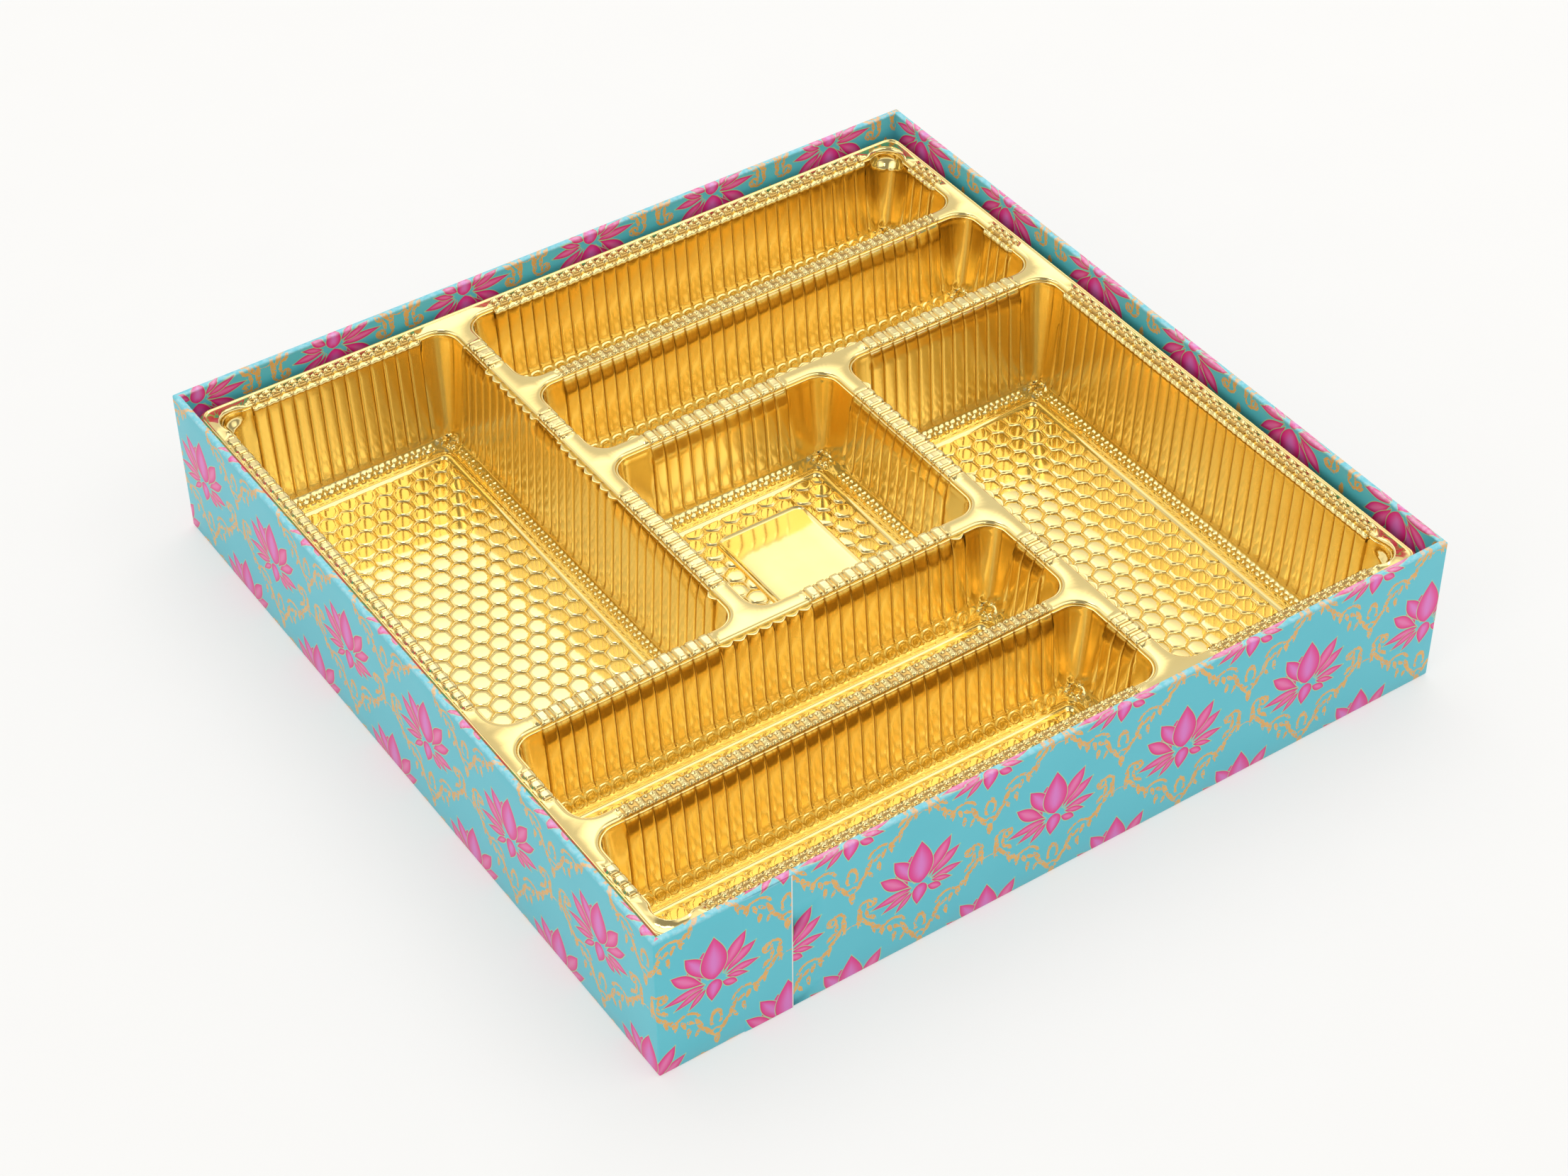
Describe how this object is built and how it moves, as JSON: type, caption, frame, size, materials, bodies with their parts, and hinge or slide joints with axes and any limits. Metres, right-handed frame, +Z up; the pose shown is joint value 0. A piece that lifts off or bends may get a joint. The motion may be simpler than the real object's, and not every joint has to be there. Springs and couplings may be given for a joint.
{
  "type": "sweet box",
  "caption": "Square shallow rigid paper-wrapped sweet box, open, with a lift-out gold formed tray of two long pockets, a square centre pocket and two pairs of troughs.",
  "frame": {"origin": "middle of the underside, on the surface that the box stands on", "axes": "+Z up, out of the open top; -Y towards the front wall, which has the wrap's seam; +X to the right, along the front wall"},
  "size_m": [0.26, 0.2602, 0.05],
  "materials": {
    "grey_board": "raw, fibrous",
    "kraft_tape": "matt",
    "printed_paper": "satin print",
    "white_paper": "matt",
    "gold_film": "metallised gold, glossy"
  },
  "bodies": {
    "box": {"base_board": "grey_board", "front_wall_board": "grey_board", "back_wall_board": "grey_board", "left_wall_board": "grey_board", "right_wall_board": "grey_board", "front_left_corner_stay": "kraft_tape", "front_right_corner_stay": "kraft_tape", "back_left_corner_stay": "kraft_tape", "back_right_corner_stay": "kraft_tape", "side_wrap": "printed_paper", "bottom_sheet": "white_paper", "base_liner": "white_paper"},
    "tray": {"tray_deck": "gold_film", "pocket_left": "gold_film", "pocket_right": "gold_film", "pocket_back_outer": "gold_film", "pocket_back_inner": "gold_film", "pocket_front_outer": "gold_film", "pocket_front_inner": "gold_film", "pocket_centre": "gold_film"}
  },
  "joints": [
    {"name": "tray_lift", "type": "slide", "parent": "box", "child": "tray", "axis": [0, 0, 1], "range_m": [0, 0.06]}
  ]
}
